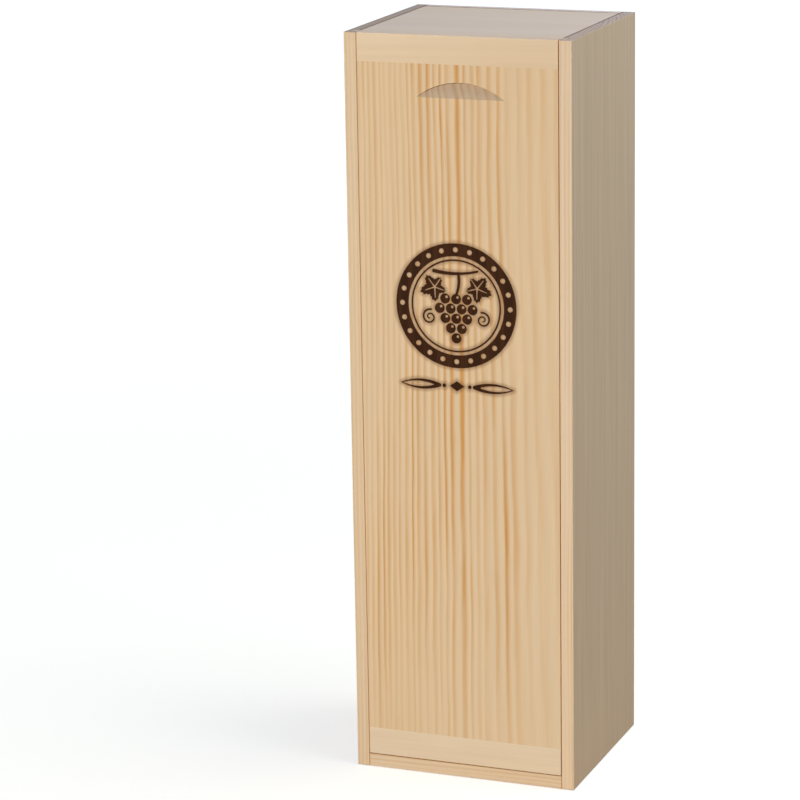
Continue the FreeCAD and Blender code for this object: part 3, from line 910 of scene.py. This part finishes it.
# %% [markdown]
# ## Floor
#
# The floor is a pale sheet that keeps a soft shadow. A real studio lights its white paper until it glows,
# but that much light would wash out the box. So the paper itself shines, and only for rays that look at
# the background: from the camera, in a reflection or through glass. The shine is weaker near the box,
# where the shadow lies. The paper is warm in the light that it throws back, and that warms the foot of
# the box.

# %% A sheet of paper
FLOOR_REACH = 12.0
FLOOR_DROP = 0.0002
WARM_PAPER = (0.80, 0.65, 0.44, 1.0)
COOL_GLOW = (0.86, 0.93, 1.0, 1.0)
GLOW_NEAR = 0.68
SHADOW_REACH = (0.2, 1.5)

corners = np.array([[-1, -1], [1, -1], [1, 1], [-1, 1]]) * FLOOR_REACH
floor_mesh = bpy.data.meshes.new("floor")
floor_mesh.from_pydata([(*spot, -FLOOR_DROP) for spot in corners.tolist()], [], [(0, 1, 2, 3)])
floor = bpy.data.objects.new("floor", floor_mesh)
bpy.context.scene.collection.objects.link(floor)


def background_rays(tree):
    """1 for rays that see the background: from the camera, in a reflection or through glass."""
    seen = 0.0
    for kind in ("Is Camera Ray", "Is Glossy Ray", "Is Transmission Ray"):
        seen = sums(tree, "MAXIMUM", seen, step(tree, "LightPath", {}, output=kind))
    return seen


floor_paper = bpy.data.materials.new("floor_paper")
floor_paper.use_nodes = True
tree = floor_paper.node_tree
tree.nodes.remove(tree.nodes["Principled BSDF"])
paper = step(tree, "BsdfDiffuse", {"Color": WARM_PAPER})
place = step(tree, "TexCoord", {}, output="Object")
away = step(tree, "VectorMath", {0: place}, output="Value", operation="LENGTH")
glow = sums(tree, "MULTIPLY", background_rays(tree), ramp(tree, away, *SHADOW_REACH, GLOW_NEAR, 1.0))
white = step(tree, "Emission", {"Color": COOL_GLOW, "Strength": glow})
surface = step(tree, "AddShader", {0: paper, 1: white})
tree.links.new(surface, tree.nodes["Material Output"].inputs["Surface"])
floor_mesh.materials.append(floor_paper)
print("floor", 2 * FLOOR_REACH, "m wide,", FLOOR_DROP, "m under the box")

# %% [markdown]
# ## Sky
#
# A faint sky fills the shadows, warm at the horizon and blue overhead, as light in a room with a window
# is. The same rays that see the floor glow see plain white here, so floor and sky meet without a line.

# %% A faint sky
HORIZON = (0.205, 0.172, 0.138, 1.0)
ZENITH = (0.18, 0.22, 0.34, 1.0)
WHITE = (1.0, 1.0, 1.0, 1.0)
BLUE_FROM = 0.8

world = bpy.data.worlds.new("studio")
bpy.context.scene.world = world
world.use_nodes = True
tree = world.node_tree
tree.nodes.remove(tree.nodes["Background"])
height = axes(tree, "Generated")[2]
sky_colour = mixed(tree, ramp(tree, height, 0.0, BLUE_FROM), HORIZON, ZENITH)
sky = step(tree, "Background", {"Color": sky_colour, "Strength": 1.0})
white = step(tree, "Background", {"Color": WHITE, "Strength": 1.0})
surface = step(tree, "MixShader", {0: background_rays(tree), 1: sky, 2: white})
tree.links.new(surface, tree.nodes["World Output"].inputs["Surface"])
print("sky from", HORIZON[:3], "at the horizon to", ZENITH[:3], "overhead")

# %% [markdown]
# ## Lamps
#
# Two soft lamps do the rest. A wide, low one at the front left lights the lid evenly and leaves the right
# side in half shade. A cooler one overhead lights the top and rakes down that side, so that the side is
# cool above and warm below. Both are large, because a large lamp makes soft shadows.

# %% Two soft lamps
def softbox(name, place, target, size, power, colour):
    """An oblong lamp that faces its target."""
    lamp = bpy.data.lights.new(name, "AREA")
    lamp.shape = "RECTANGLE"
    lamp.size, lamp.size_y = size
    lamp.energy = power
    lamp.color = colour
    box = bpy.data.objects.new(name, lamp)
    box.location = place
    box.rotation_euler = (Vector(target) - Vector(place)).to_track_quat("-Z", "Y").to_euler()
    box.visible_camera = False
    bpy.context.scene.collection.objects.link(box)
    print(name, power, "W at", place)


softbox(
    "front_lamp", place=(-0.5, -1.5, 0.22), target=(0, 0, 0.15),
    size=(1.0, 0.40), power=16.2, colour=(0.97, 0.98, 1.0),
)
softbox(
    "overhead_lamp", place=(0.45, 0.08, 1.15), target=(0, 0, 0.3),
    size=(0.8, 0.8), power=9.0, colour=(0.68, 0.84, 1.0),
)

# %% [markdown]
# ## Camera
#
# The camera looks slightly down from the right, so the front, one side and the top all show. It stands
# well back with a long lens, which keeps the upright edges almost parallel. Its place and turn were
# worked out from where the corners of the box should appear in the picture, so they are not round
# numbers.

# %% Camera
CAMERA_PLACE = (0.5109, -1.42746, 0.56363)
CAMERA_TURN = (75.52, 0.916, 21.143)
LENS = 149.9
SENSOR = 36.0

camera_data = bpy.data.cameras.new("camera")
camera_data.sensor_width = SENSOR
camera_data.lens = LENS
camera = bpy.data.objects.new("camera", camera_data)
camera.location = CAMERA_PLACE
camera.rotation_euler = [radians(angle) for angle in CAMERA_TURN]
bpy.context.scene.collection.objects.link(camera)
bpy.context.scene.camera = camera
bpy.context.scene.view_settings.view_transform = "Standard"
print("camera", round(Vector(CAMERA_PLACE).length, 3), "m from the foot of the box")
